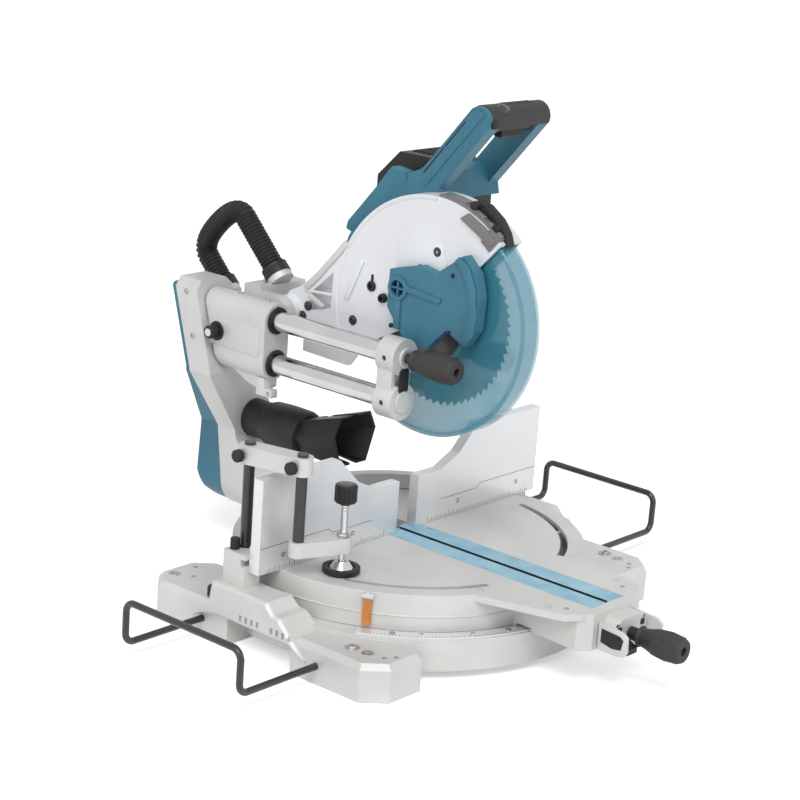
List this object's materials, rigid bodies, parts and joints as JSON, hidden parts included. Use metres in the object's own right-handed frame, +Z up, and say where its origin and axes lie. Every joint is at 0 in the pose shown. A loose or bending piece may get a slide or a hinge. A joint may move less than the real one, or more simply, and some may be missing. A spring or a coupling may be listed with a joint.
{
  "type": "sliding compound mitre saw",
  "caption": "Sliding compound mitre saw on a cast base: turntable, tilting arm with slide poles, hinged saw head, clear blade guard, sliding fences, vise and wire work holders.",
  "frame": {"origin": "on the mitre axis, on the plane that the feet stand on", "axes": "+X to the user's right, +Y to the rear, +Z up; the blade runs in the plane x = 0 and the fences face the user at y = 0"},
  "size_m": [0.996, 0.9439, 0.758],
  "materials": {
    "cast_alu": "cast, satin",
    "fence_alu": "machined, satin",
    "case_paint": "pale painted casting, satin",
    "teal_plastic": "satin moulded",
    "black_plastic": "fine grain",
    "grip_rubber": "matte",
    "hose_rubber": "ribbed, matte",
    "grey_plastic": "satin",
    "chrome": "polished",
    "steel": "machined",
    "blade_steel": "ground",
    "black_steel": "black, satin",
    "clear_guard": "clear tinted",
    "kerf_blue": "satin",
    "pointer_orange": "gloss"
  },
  "bodies": {
    "base": {"base_casting": "cast_alu", "mitre_scale_plate": "fence_alu", "scale_screws": "steel", "pivot_bolt": "steel", "fence_base": "cast_alu", "fence_clamps": "black_plastic", "holder_knobs": "black_plastic"},
    "fence_left": {"lower_fence_left": "fence_alu", "upper_fence_left": "fence_alu"},
    "fence_right": {"lower_fence_right": "fence_alu", "upper_fence_right": "fence_alu"},
    "holder_left": {"work_holder_left": "black_steel"},
    "holder_right": {"work_holder_right": "black_steel"},
    "vise_post": {"vise_post": "black_steel"},
    "vise_bracket": {"vise_bracket": "cast_alu", "vise_clamp_screws": "black_plastic"},
    "vise_arm": {"vise_rod": "black_steel", "vise_arm": "cast_alu"},
    "vise_pad": {"vise_pad": "black_plastic"},
    "vise_screw": {"vise_screw": "chrome", "vise_knob": "black_plastic"},
    "turntable": {"turntable_casting": "cast_alu", "kerf_boards": "kerf_blue", "kerf_screws": "steel", "mitre_pointer": "pointer_orange", "front_housing": "cast_alu", "bevel_pivot_pin": "steel"},
    "mitre_grip": {"mitre_grip": "grip_rubber", "mitre_lock_rod": "steel"},
    "mitre_latch": {"mitre_latch": "black_plastic"},
    "arm": {"arm_casting": "cast_alu", "arm_rear_cover": "teal_plastic", "slide_poles": "chrome", "front_bracket": "cast_alu", "dust_scoop": "black_plastic", "dust_hose": "hose_rubber"},
    "bevel_knob": {"bevel_knob": "grip_rubber"},
    "carriage": {"carriage_block": "cast_alu", "linear_bearings": "steel", "head_pivot_pin": "steel"},
    "slide_lock": {"slide_lock_screw": "black_plastic"},
    "head": {"blade_case": "case_paint", "top_cover": "grey_plastic", "centre_cover": "teal_plastic", "belt_housing": "teal_plastic", "drive_belt": "hose_rubber", "motor_housing": "teal_plastic", "motor_rear_cover": "black_plastic", "stator": "steel", "handle_frame": "teal_plastic", "handle_grip": "grip_rubber", "head_bearings": "steel"},
    "trigger": {"trigger": "black_plastic"},
    "lock_off": {"lock_off_button": "black_plastic"},
    "shaft_lock": {"shaft_lock": "black_plastic"},
    "guard": {"lower_guard": "clear_guard"},
    "blade": {"saw_blade": "blade_steel", "blade_flanges": "steel", "spindle": "steel"},
    "rotor": {"rotor": "steel"}
  },
  "joints": [
    {"name": "mitre", "type": "hinge", "parent": "base", "child": "turntable", "pos_m": [0, 0, 0.085], "axis": [0, 0, -1], "range_deg": [-60, 52]},
    {"name": "bevel", "type": "hinge", "parent": "turntable", "child": "arm", "pos_m": [0, 0.31, 0.112], "axis": [0, -1, 0], "range_deg": [-45, 28]},
    {"name": "carriage", "type": "slide", "parent": "arm", "child": "carriage", "axis": [0, -1, 0], "range_m": [0, 0.205], "deforming": ["dust_hose"]},
    {"name": "head", "type": "hinge", "parent": "carriage", "child": "head", "pos_m": [0, 0.236, 0.405], "axis": [1, 0, 0], "range_deg": [0, 47.6], "stiffness_Nm_per_rad": 34, "springref_deg": -71.62},
    {"name": "guard", "type": "hinge", "parent": "head", "child": "guard", "pos_m": [0, -0.034, 0.447], "axis": [1, 0, 0], "range_deg": [-130, 0.5]},
    {"name": "blade_spin", "type": "hinge", "parent": "head", "child": "blade", "pos_m": [0, -0.034, 0.447], "axis": [1, 0, 0], "continuous": true},
    {"name": "rotor_spin", "type": "hinge", "parent": "head", "child": "rotor", "pos_m": [0, 0.0822, 0.57381], "axis": [1, 0, 0], "continuous": true},
    {"name": "fence_left_slide", "type": "slide", "parent": "base", "child": "fence_left", "axis": [-1, 0, 0], "range_m": [0, 0.1]},
    {"name": "fence_right_slide", "type": "slide", "parent": "base", "child": "fence_right", "axis": [1, 0, 0], "range_m": [0, 0.1]},
    {"name": "holder_left_slide", "type": "slide", "parent": "base", "child": "holder_left", "axis": [-1, 0, 0], "range_m": [0, 0.1]},
    {"name": "holder_right_slide", "type": "slide", "parent": "base", "child": "holder_right", "axis": [1, 0, 0], "range_m": [-0.03, 0.06]},
    {"name": "vise_swing", "type": "hinge", "parent": "base", "child": "vise_post", "pos_m": [-0.29, 0.05, 0.1], "axis": [0, 0, -1], "range_deg": [0, 140]},
    {"name": "vise_bracket_lift", "type": "slide", "parent": "vise_post", "child": "vise_bracket", "axis": [0, 0, 1], "range_m": [0, 0.016]},
    {"name": "vise_lift", "type": "slide", "parent": "vise_bracket", "child": "vise_arm", "axis": [0, 0, 1], "range_m": [0, 0.08]},
    {"name": "vise_feed", "type": "slide", "parent": "vise_arm", "child": "vise_pad", "axis": [0, 0, 1], "range_m": [0, 0.012]},
    {"name": "vise_turn", "type": "hinge", "parent": "vise_pad", "child": "vise_screw", "pos_m": [-0.208, -0.06, 0.2], "axis": [0, 0, 1], "range_deg": [0, 865]},
    {"name": "mitre_grip_turn", "type": "hinge", "parent": "turntable", "child": "mitre_grip", "pos_m": [0, -0.45, 0.08], "axis": [0, 1, 0], "range_deg": [0, 90]},
    {"name": "mitre_latch_lift", "type": "hinge", "parent": "turntable", "child": "mitre_latch", "pos_m": [-0.024, -0.408, 0.074], "axis": [1, 0, 0], "range_deg": [0, 10], "stiffness_Nm_per_rad": 0.5, "springref_deg": -11.46},
    {"name": "bevel_knob_turn", "type": "hinge", "parent": "arm", "child": "bevel_knob", "pos_m": [-0.08, -0.09, 0.4], "axis": [0, 1, 0], "range_deg": [0, 90]},
    {"name": "slide_lock_turn", "type": "hinge", "parent": "carriage", "child": "slide_lock", "pos_m": [-0.106, 0.311, 0.367], "axis": [1, 0, 0], "range_deg": [0, 180]},
    {"name": "trigger_press", "type": "slide", "parent": "head", "child": "trigger", "axis": [0, 0, 1], "range_m": [0, 0.005], "stiffness_N_per_m": 600, "springref_m": -0.004},
    {"name": "lock_off_press", "type": "slide", "parent": "head", "child": "lock_off", "axis": [0, 1, 0], "range_m": [0, 0.003], "stiffness_N_per_m": 500, "springref_m": -0.003},
    {"name": "shaft_lock_press", "type": "slide", "parent": "head", "child": "shaft_lock", "axis": [-1, 0, 0], "range_m": [0, 0.0035], "stiffness_N_per_m": 500, "springref_m": -0.003}
  ],
  "couplings": [
    {"joint": "guard", "follows": "head", "ratio": -2.69},
    {"joint": "rotor_spin", "follows": "blade_spin", "ratio": 1.5},
    {"joint": "vise_turn", "follows": "vise_feed", "rad_per_m": 1256.6}
  ]
}
